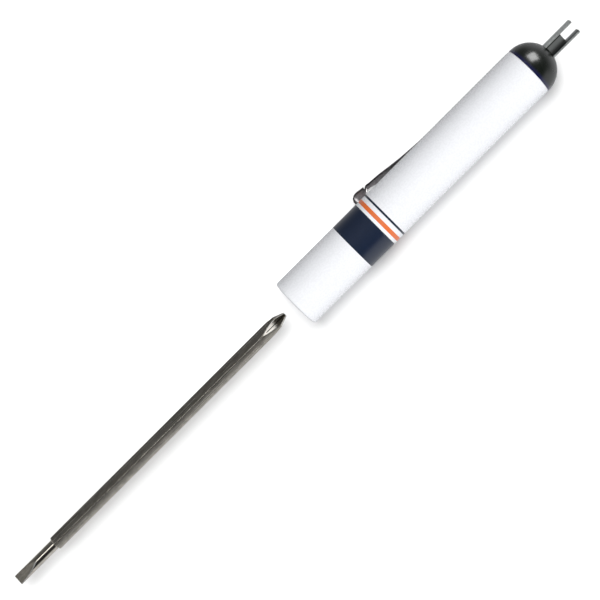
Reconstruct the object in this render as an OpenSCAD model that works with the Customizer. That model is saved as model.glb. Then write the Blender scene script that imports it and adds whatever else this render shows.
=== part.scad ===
// Pocket screwdriver: a round moulded handle with a domed cap, a valve core tool, a sprung
// pocket clip and a double-ended blade, which is drawn out of its socket.
// The handle lies along X, cap towards +X, and rests on the floor at Z = 0.

/* [Barrel] */
// Outside diameter of the barrel
barrel_d = 12.7; // [11:0.1:16]
// Length of the barrel from its nose to its rim
barrel_len = 75.5; // [70:0.5:100]
// Wall of the barrel
barrel_wall = 1.8; // [1.4:0.1:2.2]
// Rounding of the edge round the nose
nose_round = 0.6; // [0.2:0.1:1.2]
// Thickness of the lip that closes the nose
lip_t = 1.5; // [1:0.1:2.5]
// Chamfer on the edges of the rim
rim_chamfer = 0.12; // [0.05:0.01:0.2]
// Chamfer round the mouth of the nose
mouth_chamfer = 0.3; // [0.1:0.1:0.6]

/* [End cap] */
// Straight rim below the dome
cap_rim = 0.3; // [0.2:0.1:1.5]
// Length of the plug that is pressed into the barrel
plug_len = 8; // [6:0.5:12]
// Lead-in chamfer on the end of the plug
plug_chamfer = 0.5; // [0.2:0.1:0.8]

/* [Valve core tool] */
// Width of the steel channel across its flanges
tool_w = 3.5; // [3.2:0.1:4]
// Height of the flanges from the back of the web
tool_h = 2.5; // [2:0.1:3]
// Thickness of the steel sheet
tool_sheet = 0.5; // [0.4:0.05:0.8]
// Length that stands out of the dome
tool_out = 8; // [6:0.5:12]
// Length that is held in the cap
tool_held = 9; // [5:0.5:10]
// Depth of the slot between the two prongs
tool_slot = 3.6; // [2.5:0.1:5]
// Rounding at the tips of the prongs
tool_round = 0.45; // [0.2:0.05:0.6]
// Turn of the tool about the handle's axis
tool_roll = 16; // [-20:1:20]

/* [Pocket clip] */
// Turn of the clip from straight below the handle
clip_roll = 56; // [50:1:70]
// Thickness of the spring strip
clip_t = 0.5; // [0.4:0.05:0.7]
// Length from the rim to the tip of the foot
clip_len = 49.5; // [40:0.5:60]
// Width of the strip at its root
clip_root_w = 2.7; // [2:0.1:3]
// Width of the strip at the end of the arm
clip_arm_w = 1.5; // [1.3:0.1:1.8]
// Length over which the arm narrows towards the foot
clip_taper = 5; // [3:0.5:8]
// Width of the foot
clip_foot_w = 2.8; // [2.2:0.1:3.2]
// Size of the trimmed corners of the foot
clip_corner = 0.5; // [0.3:0.1:0.8]
// Length over which the arm bends away from the barrel
clip_bend_len = 14; // [10:0.5:16]
// Length of the straight end of the arm
clip_straight = 5.7; // [4:0.1:8]
// Slope of the straight end of the arm
clip_slope = 10.3; // [8:0.1:12]
// Length of the step from the arm down to the foot
clip_step = 0.68; // [0.5:0.02:0.9]
// Length of the flat of the foot
clip_foot_run = 1.6; // [1.2:0.1:2.4]
// Radius of the foot's curled end, at the middle of the sheet
clip_curl = 1.65; // [1.2:0.05:1.8]
// Radius of the root's bend over the rim, at the middle of the sheet
clip_root_bend = 0.6; // [0.4:0.05:0.7]
// Length of the root's tab, from the outside of the barrel inwards
clip_tab = 3; // [2.4:0.1:3.4]

/* [Blade] */
// Overall length of the blade
blade_len = 88; // [75:0.5:110]
// Size of the hexagonal bar across its flats
bar_af = 3.5; // [3:0.05:3.6]
// Amount taken off the corners of the bar
bar_corner = 0.06; // [0.03:0.01:0.12]
// Length of the turned end, from the slotted tip to the shoulder
neck_len = 12.3; // [9:0.1:16]
// Diameter of the turned neck
neck_d = 2.56; // [2.2:0.02:2.8]
// Fillet where the neck meets the shoulder
neck_fillet = 0.25; // [0.1:0.05:0.4]
// Height and length of the chamfer on the shoulder
shoulder_chamfer = 0.3; // [0.15:0.05:0.4]
// Thickness of the slotted tip at its end
slot_tip_t = 0.5; // [0.4:0.05:0.7]
// Length of the ground flats of the slotted tip
slot_tip_len = 6.1; // [4:0.1:8]
// Turn of the slotted tip about the blade's axis
slot_tip_roll = 12; // [-30:1:30]
// Diameter of the blunt end of the cross point
point_d = 1.44; // [1.2:0.02:1.8]
// Chamfer at the blunt end of the cross point
point_chamfer = 0.2; // [0.1:0.02:0.3]
// Half angle of the cross point
point_angle = 26.5; // [22:0.5:30]
// Radius of the flute's root from the blade's axis, at the end of the point
flute_root = 0.27; // [0.2:0.01:0.35]
// Included angle of a flute
flute_angle = 92; // [88:1:96]
// Rounding at the root of a flute
flute_round = 0.12; // [0.05:0.01:0.18]
// Length of a flute from the end of the point to its run-out at a corner of the bar
flute_len = 7.7; // [6:0.1:10]

/* [Socket] */
// Depth of the blade's socket from the nose
socket_depth = 45; // [35:0.5:55]
// Solid floor behind the socket
socket_floor = 1.5; // [1:0.1:3]
// Wall of the hub round the socket
socket_wall = 0.85; // [0.6:0.05:1.1]
// Thickness of the ribs that carry the hub
socket_rib = 1; // [0.8:0.1:1.4]
// Thickness of the disc at each end of the socket
socket_disc = 1.5; // [1:0.1:2.5]
// Length of the gripping ribs behind the socket's mouth
grip_len = 12; // [8:0.5:20]

/* [Fits] */
// Play round the bar in its socket, each side
bar_play = 0.1; // [0.06:0.01:0.15]
// Play round the corners of the bar where it enters the nose
mouth_play = 0.35; // [0.2:0.05:0.5]
// Play left between the bar and the gripping ribs
grip_play = 0.04; // [0.02:0.01:0.05]
// Clearance of the parts that are pressed into the barrel
press_gap = 0.03; // [0.01:0.01:0.05]
// Space between the strip of the clip and the barrel
clip_gap = 0.08; // [0.05:0.01:0.15]
// Space round the clip's root in its notch
notch_gap = 0.3; // [0.25:0.01:0.4]
// Distance from the point of the blade to the nose
blade_gap = 3.4; // [1:0.1:10]
// Space left between the seated blade and the floor of its socket
blade_stop = 0.2; // [0.1:0.1:1]

/* [Hidden] */
$fn = 96;

// Overrun of a cut past the face that it opens
over = 0.5;
// Angle from a corner of a hexagon to the middle of its flat
hex_half = 30;
// Pieces of each rounded stretch of the clip
bend_steps = 20;
// Depth of the wheel's rim that is used to cut a flute
wheel_rim = 3;
// Radius of the gripping ribs inside the socket
grip_r = 0.35;
// Slope of the step from the clip's arm down to its foot
step_slope = 40;
// Slope of the flat of the clip's foot
foot_slope = 13.5;

barrel_r = barrel_d / 2;
bore_r = barrel_r - barrel_wall;
cap_len = cap_rim + barrel_r;
hex_share = 1 / cos(hex_half);
bar_r = bar_af / 2 * hex_share;
socket_af = bar_af + 2 * bar_play;
socket_r = socket_af / 2 * hex_share;
lip_r = socket_r + mouth_play;
core_len = socket_depth + socket_floor - lip_t;
core_r = bore_r - press_gap;
hub_r = socket_r + socket_wall;

// The clip's path runs along the middle of its sheet, as points of place along the handle and radius
tip_u = barrel_len - clip_len;
hook_u = barrel_len - clip_t / 2;
hug_r = barrel_r + clip_gap + clip_t / 2;
tab_r = barrel_r - clip_tab;
bend_r = clip_bend_len / (clip_slope * PI / 180);
arm_run = bend_r * sin(clip_slope) + clip_straight * cos(clip_slope);
step_run = clip_step * cos(step_slope);
foot_run = clip_foot_run * cos(foot_slope) + clip_curl * (1 + sin(foot_slope)) + clip_t / 2;
step_u = tip_u + foot_run + step_run;
hug_u = step_u + arm_run;
arm_end = [step_u, hug_r + bend_r * (1 - cos(clip_slope)) + clip_straight * sin(clip_slope)];
foot_start = arm_end - clip_step * [cos(step_slope), sin(step_slope)];
curl_start = foot_start + clip_foot_run * [-cos(foot_slope), sin(foot_slope)];
curl_centre = curl_start - clip_curl * [sin(foot_slope), cos(foot_slope)];
foot_end = [curl_centre[0] - clip_curl, barrel_r + clip_gap];
clip_path = concat(
    [[hook_u, tab_r]],
    arc([hook_u, hug_r] - clip_root_bend * [1, 1], clip_root_bend, 0, 90),
    arc([hug_u, hug_r + bend_r], bend_r, -90, -90 - clip_slope),
    [arm_end, foot_start],
    arc(curl_centre, clip_curl, 90 - foot_slope, 180),
    [foot_end]
);
foot_top_r = curl_centre[1] + clip_curl + clip_t / 2;

// The origin lies under the middle of the box round the whole tool
clip_side = max(barrel_r, foot_top_r * sin(clip_roll) + clip_foot_w / 2 * cos(clip_roll));
clip_drop = foot_top_r * cos(clip_roll) + clip_foot_w / 2 * sin(clip_roll);
axis_y = (barrel_r - clip_side) / 2;
axis_z = max(barrel_r, clip_drop);
total_len = blade_len + blade_gap + barrel_len + cap_len + tool_out;
blade_x = -total_len / 2;
nose_x = blade_x + blade_len + blade_gap;

// Points of an arc about a centre, from one angle to another
function arc(centre, r, from, to) =
    [for (i = [0:bend_steps]) centre + r * dir(from + (to - from) * i / bend_steps)];

// Unit vector at an angle
function dir(angle) = [cos(angle), sin(angle)];

// Unit vector from one point to another
function heading(a, b) = (b - a) / norm(b - a);

// Offset at a point of a path that keeps both neighbouring edges at the same distance
function mitre(path, i) =
    let (
        last = len(path) - 1,
        before = heading(path[max(i - 1, 0)], path[max(i, 1)]),
        after = heading(path[min(i, last - 1)], path[min(i + 1, last)]),
        both = before + after
    )
    [-both[1], both[0]] * 2 / (both * both);

// Outline of a strip of sheet that follows a path
function strip(path, t) = concat(
    [for (i = [0:len(path) - 1]) path[i] + mitre(path, i) * t / 2],
    [for (i = [len(path) - 1:-1:0]) path[i] - mitre(path, i) * t / 2]
);

// Puts the handle's axis along X through the origin's height and side, nose at X = 0
module on_handle() {
    translate([nose_x, axis_y, axis_z]) children();
}

// Turns the clip's side of the handle up, so that +Z is away from the axis
module on_clip_side() {
    rotate([clip_roll - 180, 0, 0]) children();
}

// Revolves an outline of places along the handle and radii about the X axis
module turned() {
    rotate([90, 0, 90]) rotate_extrude() children();
}

// Turns an outline drawn as length and radius into one that turned() can revolve
module lathe() {
    mirror([1, -1]) children();
}

// Hexagonal bar along X with one corner up
module hex_bar(r, length) {
    rotate([0, 90, 0]) cylinder(r = r, h = length, $fn = 6);
}

// Round bar along X
module round_bar(r, length) {
    rotate([0, 90, 0]) cylinder(r = r, h = length);
}

// Section of the barrel: wall, closed nose with a rounded edge, and chamfered rim
module barrel_section() {
    difference() {
        polygon([
            [mouth_chamfer, lip_r],
            [0, lip_r + mouth_chamfer],
            [0, barrel_r],
            [barrel_len - rim_chamfer, barrel_r],
            [barrel_len, barrel_r - rim_chamfer],
            [barrel_len, bore_r],
            [lip_t, bore_r],
            [lip_t, lip_r]
        ]);
        difference() {
            translate([-over, barrel_r - nose_round]) square([nose_round + over, nose_round + over]);
            translate([nose_round, barrel_r - nose_round]) circle(nose_round);
        }
    }
}

// Moulded tube, closed at the nose round the blade's hole and notched at the rim for the clip
module barrel() {
    color([0.95, 0.95, 0.96])
    on_handle()
    difference() {
        turned() lathe() barrel_section();
        on_clip_side()
            translate([
                barrel_len - clip_t - notch_gap,
                -clip_root_w / 2 - notch_gap,
                bore_r - over
            ])
            cube([clip_t + notch_gap + over, clip_root_w + 2 * notch_gap, barrel_wall + 2 * over]);
    }
}

// Ribbed core with a blind hexagonal socket, pressed into the barrel up to the lip
module blade_socket() {
    color([0.88, 0.88, 0.86])
    on_handle()
    translate([lip_t, 0, 0])
    difference() {
        intersection() {
            socket_frame();
            round_bar(core_r, core_len);
        }
        difference() {
            translate([-over, 0, 0]) hex_bar(socket_r, core_len - socket_floor + over);
            for (turn = [0:120:240])
                rotate([turn + hex_half, 0, 0])
                translate([grip_r, 0, bar_af / 2 + grip_play + grip_r])
                grip_rib();
        }
    }
}

// Hub with lengthwise ribs and a disc at each end
module socket_frame() {
    round_bar(hub_r, core_len);
    for (turn = [0:60:300])
        rotate([turn, 0, 0])
        translate([0, -socket_rib / 2, 0])
        cube([core_len, socket_rib, core_r]);
    for (end = [0, core_len - socket_disc])
        translate([end, 0, 0]) round_bar(core_r, socket_disc);
}

// Rounded rib that grips one flat of the bar
module grip_rib() {
    round_bar(grip_r, grip_len);
    sphere(grip_r);
    translate([grip_len, 0, 0]) sphere(grip_r);
}

// Section of the cap: dome, straight rim and plug
module cap_section() {
    square([cap_rim, barrel_r]);
    intersection() {
        translate([cap_rim, 0]) circle(barrel_r);
        translate([cap_rim, 0]) square(barrel_r);
    }
    polygon([
        [0, 0],
        [0, core_r],
        [plug_chamfer - plug_len, core_r],
        [-plug_len, core_r - plug_chamfer],
        [-plug_len, 0]
    ]);
}

// Domed cap with a plug, pocketed for the tool and recessed for the clip's tab
module end_cap() {
    color([0.06, 0.07, 0.07])
    on_handle()
    difference() {
        translate([barrel_len, 0, 0]) turned() lathe() cap_section();
        rotate([tool_roll, 0, 0])
            translate([barrel_len + cap_len - tool_held, 0, -tool_h / 2])
            rotate([90, 0, 90])
            linear_extrude(tool_held + over)
            pocket_section();
        on_clip_side()
            translate([
                barrel_len - clip_t - notch_gap,
                -clip_root_w / 2 - notch_gap,
                tab_r - notch_gap
            ])
            cube([clip_t + notch_gap, clip_root_w + 2 * notch_gap, barrel_r]);
    }
}

// Section of the pocket for the tool, which leaves a core to fill the channel
module pocket_section() {
    difference() {
        translate([-tool_w / 2 - press_gap, -press_gap])
            square([tool_w + 2 * press_gap, tool_h + 2 * press_gap]);
        translate([tool_sheet + press_gap - tool_w / 2, tool_sheet + press_gap])
            square([tool_w - 2 * (tool_sheet + press_gap), tool_h]);
    }
}

// Section of the tool's channel, web down, with its outer bends rounded
module channel_section() {
    difference() {
        union() {
            translate([-tool_w / 2, tool_round]) square([tool_w, tool_h - tool_round]);
            translate([tool_round - tool_w / 2, 0]) square([tool_w - 2 * tool_round, tool_h]);
            for (side = [-1, 1])
                translate([side * (tool_w / 2 - tool_round), tool_round]) circle(tool_round);
        }
        translate([tool_sheet - tool_w / 2, tool_sheet])
            square([tool_w - 2 * tool_sheet, tool_h]);
    }
}

// Rounded block that trims the free corners of the prongs
module tool_envelope(length) {
    translate([0, -tool_w, 0]) cube([length - tool_round, 2 * tool_w, tool_h]);
    translate([0, -tool_w, 0]) cube([length, 2 * tool_w, tool_h - tool_round]);
    translate([length - tool_round, tool_w, tool_h - tool_round])
        rotate([90, 0, 0]) cylinder(r = tool_round, h = 2 * tool_w);
}

// Forked steel channel, held in the cap
module valve_core_tool() {
    length = tool_held + tool_out;
    color([0.55, 0.56, 0.58])
    on_handle()
    rotate([tool_roll, 0, 0])
    translate([barrel_len + cap_len - tool_held, 0, -tool_h / 2])
    difference() {
        intersection() {
            rotate([90, 0, 90]) linear_extrude(length) channel_section();
            tool_envelope(length);
        }
        translate([length - tool_slot, tool_sheet - tool_w / 2, -over])
            cube([tool_slot + over, tool_w - 2 * tool_sheet, tool_h + 2 * over]);
    }
}

// Outline of the clip seen from outside: wide arm, narrow end of the arm and trimmed foot
module clip_plan() {
    half_root = clip_root_w / 2;
    half_foot = clip_foot_w / 2;
    side = [
        [barrel_len + clip_t, half_root],
        [step_u + clip_taper, half_root],
        [step_u, clip_arm_w / 2],
        [step_u - step_run, half_foot],
        [tip_u + clip_corner, half_foot],
        [tip_u - over, half_foot - clip_corner - over]
    ];
    polygon(concat(side, [for (i = [len(side) - 1:-1:0]) [side[i][0], -side[i][1]]]));
}

// Spring strip hooked over the rim, which bows away from the barrel and curls back to it
module pocket_clip() {
    color([0.42, 0.42, 0.45])
    on_handle()
    on_clip_side()
    intersection() {
        translate([0, clip_foot_w, 0]) rotate([90, 0, 0])
            linear_extrude(2 * clip_foot_w) polygon(strip(clip_path, clip_t));
        translate([0, 0, tab_r - over]) linear_extrude(foot_top_r) clip_plan();
    }
}

// Section of the blade's turned envelope: neck, chamfered shoulder and cross point
module blade_section() {
    trim_r = bar_r - bar_corner;
    taper = (trim_r - point_d / 2) / tan(point_angle);
    difference() {
        polygon([
            [0, 0],
            [0, neck_d / 2],
            [neck_len - neck_fillet, neck_d / 2],
            [neck_len, neck_d / 2 + neck_fillet],
            [neck_len, trim_r - shoulder_chamfer],
            [neck_len + shoulder_chamfer, trim_r],
            [blade_len - point_chamfer - taper, trim_r],
            [blade_len - point_chamfer, point_d / 2],
            [blade_len, point_d / 2 - point_chamfer],
            [blade_len, 0]
        ]);
        translate([neck_len - neck_fillet, neck_d / 2 + neck_fillet]) circle(neck_fillet);
    }
}

// Rim of the wheel that grinds one flute, with a rounded edge
module flute_cutter() {
    half = flute_angle / 2;
    depth = bar_r - bar_corner - flute_root;
    wheel_r = (flute_len * flute_len + depth * depth) / (2 * depth);
    edge_r = wheel_r - flute_round;
    flank = [edge_r + flute_round * sin(half), flute_round * cos(half)];
    inner_r = wheel_r - wheel_rim;
    inner_y = flank[1] + (flank[0] - inner_r) * tan(half);
    translate([blade_len, 0, flute_root + wheel_r])
    rotate([90, 0, 0])
    rotate_extrude() {
        polygon([flank, [flank[0], -flank[1]], [inner_r, -inner_y], [inner_r, inner_y]]);
        translate([edge_r, 0]) circle(flute_round);
    }
}

// Wedge that grinds one flat of the slotted tip
module tip_wedge() {
    rise = (neck_d - slot_tip_t) / 2 / slot_tip_len;
    translate([0, neck_d, 0]) rotate([90, 0, 0])
        linear_extrude(2 * neck_d)
        polygon([
            [-over, slot_tip_t / 2 - rise * over],
            [slot_tip_len, neck_d / 2],
            [slot_tip_len, neck_d],
            [-over, neck_d]
        ]);
}

// Hexagonal bar with a slotted tip on a turned neck and a cross point at the other end
module driver_blade() {
    color([0.45, 0.45, 0.46])
    translate([blade_x, axis_y, axis_z])
    difference() {
        intersection() {
            turned() lathe() blade_section();
            hex_bar(bar_r, blade_len);
        }
        for (turn = [0:90:270])
            rotate([turn, 0, 0]) flute_cutter();
        for (turn = [0, 180])
            rotate([turn - slot_tip_roll, 0, 0]) tip_wedge();
    }
}

barrel();
blade_socket();
end_cap();
valve_core_tool();
pocket_clip();
driver_blade();
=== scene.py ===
import math

import bmesh
import bpy
import numpy as np
from bpy.props import FloatProperty, FloatVectorProperty, PointerProperty
from mathutils import Matrix, Vector


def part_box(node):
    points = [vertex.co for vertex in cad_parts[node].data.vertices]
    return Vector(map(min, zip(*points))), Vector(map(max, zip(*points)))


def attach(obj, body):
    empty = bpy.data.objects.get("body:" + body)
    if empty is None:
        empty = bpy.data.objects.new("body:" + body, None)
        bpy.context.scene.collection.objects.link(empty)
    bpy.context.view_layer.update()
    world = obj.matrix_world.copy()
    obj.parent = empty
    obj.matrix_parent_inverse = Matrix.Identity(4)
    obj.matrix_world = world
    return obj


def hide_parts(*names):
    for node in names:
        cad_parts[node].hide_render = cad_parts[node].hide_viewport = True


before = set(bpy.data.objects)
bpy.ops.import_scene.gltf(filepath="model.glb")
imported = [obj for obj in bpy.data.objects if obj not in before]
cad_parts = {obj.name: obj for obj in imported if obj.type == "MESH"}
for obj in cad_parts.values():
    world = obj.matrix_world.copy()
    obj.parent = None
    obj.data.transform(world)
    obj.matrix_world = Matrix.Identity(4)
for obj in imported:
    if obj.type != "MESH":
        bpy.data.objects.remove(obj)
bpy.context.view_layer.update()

bl_info = {
    "name": "Pocket screwdriver looks",
    "version": (1, 0, 0),
    "blender": (4, 5, 0),
    "location": "3D View > Sidebar > Screwdriver",
    "description": "Finishes and fine shapes of a pocket screwdriver, with its table, lights and camera",
    "category": "Object",
}

MM = 0.001

# Places that every piece shares, in millimetres, read from the frame
BARREL_LOW, BARREL_HIGH = (np.array(corner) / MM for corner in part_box("barrel"))
BLADE_LOW, BLADE_HIGH = (np.array(corner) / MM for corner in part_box("driver_blade"))
BARREL_R = (BARREL_HIGH[2] - BARREL_LOW[2]) / 2
AXIS_Y = (BARREL_HIGH[1] + BARREL_LOW[1]) / 2
AXIS_Z = (BARREL_HIGH[2] + BARREL_LOW[2]) / 2
NOSE_X = BARREL_LOW[0]
RIM_X = BARREL_HIGH[0]
BLADE_X = BLADE_LOW[0]
BLADE_LEN = BLADE_HIGH[0] - BLADE_LOW[0]
BAR_FLATS = BLADE_HIGH[1] - BLADE_LOW[1]
BAR_ROUND_R = (BLADE_HIGH[2] - BLADE_LOW[2]) / 2
CLIP_TIP_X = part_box("pocket_clip")[0][0] / MM

# Crown of the bar's flats, as a share of their distance from the axis
FLAT_CROWN = 0.06

# The middle stretches of a noise's values, in which most places lie
NOISE_NARROW = (0.3, 0.7)
NOISE_WIDE = (0.25, 0.75)

# Barrel: depth down to which it is printed, the stretch from the nose over which the painted shade
# along its edge fades out, and how strong that painted shade is
PRINT_DEPTH = 0.1
NOSE_SHADE_STRETCH = (0.08, 0.32)
NOSE_SHADE_SHARE = 0.3

# Cap: the stretch from the rim over which the painted bluish reflection at the rim gives way to the
# dome's colour
RIM_REFLECTION_STRETCH = (0.25, 1.0)

# Blade: the colour of bare steel, which also serves as a painted highlight, and the stretches in
# millimetres over which each mask of its painted highlights and its painted shade comes in or fades out
BARE_STEEL_AND_HIGHLIGHT = (0.92, 0.91, 0.89)
GROUND_DEPTH = (-0.12, -0.04)
FLUTE_HIGHLIGHT_IN = (2.6, 3.4)
FLUTE_HIGHLIGHT_OUT = 0.5
LAND_HIGHLIGHT_DEPTH = (-0.14, -0.06)
LAND_HIGHLIGHT_SHARE = 0.4
LAND_HIGHLIGHT_OUT = (2.3, 2.6)
EDGE_HIGHLIGHT_RADIUS = (-0.17, -0.06)
EDGE_HIGHLIGHT_HEIGHT = (-0.09, -0.02)
EDGE_HIGHLIGHT_PAST_FLAT = 0.2
EDGE_HIGHLIGHT_SIDE = (0.05, 0.3)
ROOT_SHADE = (0.05, 0.14)
ROOT_SHADE_OUT = (-2.2, -1.6)

# Fork: the stretches in millimetres over which the painted shade of its channel comes in or fades
# out: past its walls, from its low wall, and across it and above its middle for the rest
CHANNEL_SHADE_EDGE = (0.02, 0.1)
LOW_WALL_SHADE_DEPTH = 0.03
LOW_WALL_SHADE_HEIGHT = (-0.2, 0.3)
WEB_SHADE_SIDE = (0.38, 0.5)
WEB_SHADE_HEIGHT = (-0.7, -0.55)

# Room light round the handle's axis: degrees from straight up towards -Y, and brightness
SKY_ROUND = [
    (-180, 0.6), (-125, 0.5), (-98, 0.18), (-30, 0.11), (-4, 0.06), (50, 0.035), (57, 0.15),
    (67, 0.85), (78, 1.05), (105, 1.0), (145, 0.7), (180, 0.5),
]
SKY_TINT = (0.97, 0.98, 1.0, 1.0)
# Room light towards the ends: the heights of a direction between which it goes from the light
# below to the one above, and the parts of it along X between which it takes over
END_HEIGHT = (-0.3, 0.3)
END_SHARE = (0.45, 0.85)

# Lamps far away: where the light comes from, and the degrees that the lamp spans
TABLE_SUN = ((0.06, 0.27, 0.95), 34)
FILL_SUN = ((0, 0, 1), 10)
TOP_SUN = ((0, -0.09, 1), 80)
# Lamps a metre away: where they stand, their width across the handle and their length along it,
# in metres
KEY_BOX = ((0.72, 0.42, 0.549), 0.58, 0.58)
LINE_BOX = ((-0.15, 0.3, 0.93), 0.16, 0.44)
POINT_BOX = ((0.66, 0.03, 0.75), 0.6, 0.9)
TIP_BOX = ((-0.6, 0.3, 0.74), 0.6, 0.45)
CLIP_BOX = ((0.45, -0.42, -0.79), 0.3, 0.3)
FORK_BOX = ((0, -0.53, 0.85), 0.5, 0.8)

# Camera: the point on the handle that it looks at in millimetres, the handle's turn in the
# picture in degrees, the shift as a share of the frame, and the sizes of frame and sensor
AIM_X = 5.94
AIM_Y = -1.15
PICTURE_TURN = 44.99
FRAME_SHIFT = -0.02
FRAME_PIXELS = 600
SENSOR_MM = 36


def colour(name, description, default):
    """A colour that the user can change."""
    return FloatVectorProperty(
        name=name, description=description, subtype="COLOR", size=3, min=0, max=1, default=default
    )


def share(name, description, default):
    """A share from 0 to 1 that the user can change."""
    return FloatProperty(
        name=name, description=description, subtype="FACTOR", min=0, max=1, default=default
    )


def length(name, description, default):
    """A size in millimetres that the user can change."""
    return FloatProperty(name=name, description=description, min=0, soft_max=100, default=default)


def turn(name, description, degrees):
    """An angle that the user can change."""
    return FloatProperty(
        name=name, description=description, subtype="ANGLE", default=math.radians(degrees)
    )


class BarrelLooks(bpy.types.PropertyGroup):
    """Finish of the barrel and its printed bands."""

    plastic: colour("Plastic", "Colour of the moulded tube", (0.86, 0.87, 0.9))
    navy: colour("Wide band", "Ink of the wide band and of the last line", (0.004, 0.011, 0.032))
    orange: colour("Thin band", "Ink of the thin band", (0.78, 0.16, 0.03))
    roughness: share("Roughness", "Roughness of the plastic", 0.27)
    band_start: length("Band start", "Distance from the nose to the wide band, in mm", 18.6)
    band_width: length("Band width", "Width of the wide band, in mm", 7.4)
    line_gap: length("Line gap", "Bare stretch between the bands, in mm", 0.8)
    line_width: length("Line width", "Width of each thin band, in mm", 1.0)


class CapLooks(bpy.types.PropertyGroup):
    """Finish of the domed cap and of the socket inside the barrel."""

    plastic: colour("Cap", "Colour of the cap", (0.005, 0.007, 0.005))
    # The rim colour is a painted bluish reflection along the joint with the barrel
    rim: colour("Rim", "Colour of the cap where it meets the barrel", (0.006, 0.007, 0.05))
    roughness: share("Roughness", "Roughness of the cap", 0.25)
    socket: colour("Socket", "Colour of the moulded socket", (0.7, 0.7, 0.67))


class BladeLooks(bpy.types.PropertyGroup):
    """Shape and finish of the double-ended blade."""

    steel: colour("Steel", "Colour of the plated bar", (0.485, 0.455, 0.4))
    roughness: share("Roughness", "Roughness of the drawn bar", 0.25)
    ground_roughness: share("Ground roughness", "Roughness where the ends are ground", 0.17)
    # Share of bare steel that also serves as a painted highlight
    bare_and_highlight_share: share("Ground brightness", "Share of bare bright steel in the flutes", 0.75)
    neck_len: length("Neck length", "From the slotted tip to the shoulder, in mm", 12.3)
    neck_d: length("Neck diameter", "Diameter of the turned neck, in mm", 2.56)
    neck_fillet: length("Neck fillet", "Fillet at the shoulder, in mm", 0.25)
    shoulder_chamfer: length("Shoulder chamfer", "Chamfer on the shoulder, in mm", 0.3)
    tip_t: length("Tip thickness", "Thickness of the slotted tip, in mm", 0.5)
    tip_len: length("Tip length", "Length of the ground flats, in mm", 6.1)
    tip_roll: turn("Tip turn", "Turn of the slotted tip about the blade", 12)
    point_d: length("Point diameter", "Diameter of the blunt cross point, in mm", 1.44)
    point_chamfer: length("Point chamfer", "Chamfer at the cross point, in mm", 0.2)
    point_angle: turn("Point angle", "Half angle of the cross point", 26.5)
    flute_root: length("Flute root", "From the axis to the flute at the point, in mm", 0.27)
    flute_angle: turn("Flute angle", "Included angle of a flute", 92)
    flute_len: length("Flute length", "From the point to the flute's run-out, in mm", 7.7)


class ClipLooks(bpy.types.PropertyGroup):
    """Shape and finish of the sprung pocket clip."""

    steel: colour("Steel", "Colour of the spring strip", (0.16, 0.148, 0.152))
    roughness: share("Roughness", "Roughness of the strip", 0.3)
    roll: turn("Turn", "Turn of the clip from straight below the handle", 56)
    sheet: length("Thickness", "Thickness of the strip, in mm", 0.5)
    gap: length("Gap", "Space between the strip and the barrel, in mm", 0.08)
    root_w: length("Root width", "Width of the strip at its root, in mm", 2.6)
    arm_w: length("Arm width", "Width of the strip at the end of the arm, in mm", 1.6)
    nick_w: length("Nick width", "Width left at the nick between arm and foot, in mm", 1.0)
    skew: FloatProperty(name="Skew", description="Slant of the step across the strip", default=0.42)
    inner_cut: length("Inner cut", "Cut on the arm's edge next to the barrel, in mm", 0.28)
    inner_cut_len: length("Inner cut length", "Length over which that cut runs out, in mm", 3.4)
    foot_w: length("Foot width", "Width of the foot, in mm", 2.8)
    taper: length("Taper", "Length over which the arm narrows towards the foot, in mm", 5.0)
    corner: length("Corner", "Rounding of the foot's corners, in mm", 0.6)
    bend_len: length("Bend length", "Length over which the arm leaves the barrel, in mm", 14)
    straight: length("Straight length", "Length of the arm's straight end, in mm", 5.7)
    slope: turn("Slope", "Slope of the arm's straight end", 10.3)
    step: length("Step", "Length of the step down to the foot, in mm", 0.68)
    skew_len: length("Skew length", "Length along the strip that is skewed, in mm", 1.2)
    step_slope: turn("Step slope", "Slope of the step", 40)
    foot_run: length("Foot run", "Length of the foot's flat, in mm", 1.6)
    foot_slope: turn("Foot slope", "Slope of the foot's flat", 13.5)
    curl: length("Curl", "Radius of the curled end, in mm", 1.65)
    root_bend: length("Root bend", "Radius of the bend over the rim, in mm", 0.6)
    tab: length("Tab", "Length of the root's tab, in mm", 3.0)


class ForkLooks(bpy.types.PropertyGroup):
    """Finish of the forked steel channel."""

    steel: colour("Steel", "Colour of the plated sheet", (0.435, 0.455, 0.448))
    roughness: share("Roughness", "Roughness of the sheet", 0.36)
    edge: length("Edge rounding", "Rounding of the sheet's edges, in mm", 0.08)
    roll: turn("Turn", "Turn of the channel about the handle", 16)
    inner_w: length("Inner width", "Width inside the channel, in mm", 2.5)


class StageLooks(bpy.types.PropertyGroup):
    """Table, lights and camera."""

    table: colour("Table", "Colour of the table", (0.86, 0.86, 0.86))
    table_light: length("Table light", "Strength of the light that shades the table", 2.15)
    handle_light: length("Handle light", "Strength of the light that only the handle shades", 0.8)
    table_fill: length("Table fill", "Strength of the table's shadowless light", 0.9)
    top_light: length("Top light", "Strength of the soft light from above", 3.2)
    key_light: length("Key light", "Brightness of the square light", 10)
    line_light: length("Line light", "Brightness of the strip light along the blade", 5.8)
    point_light: length("Point light", "Brightness of the light for the cross point", 1.5)
    tip_light: length("Tip light", "Brightness of the light for the slotted tip", 0.2)
    clip_light: length("Clip light", "Brightness of the low light for the clip's bends", 9.0)
    fork_light: length("Fork light", "Brightness of the light for the fork", 1.05)
    end_low: length("Low end light", "Room light towards the ends, below", 0.85)
    end_high: length("High end light", "Room light towards the ends, above", 0.13)
    camera_height: length("Camera height", "From the handle's axis to the camera, in mm", 450)
    camera_tilt: turn("Camera tilt", "Lean of the camera towards the cap", 3)
    pixels_per_mm: FloatProperty(
        name="Picture scale", description="Pixels per millimetre at the handle", default=4.335
    )


def add_piece(name, mesh):
    """A new object in the scene with the mesh given."""
    piece = bpy.data.objects.new(name, mesh)
    bpy.context.scene.collection.objects.link(piece)
    return piece


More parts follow.
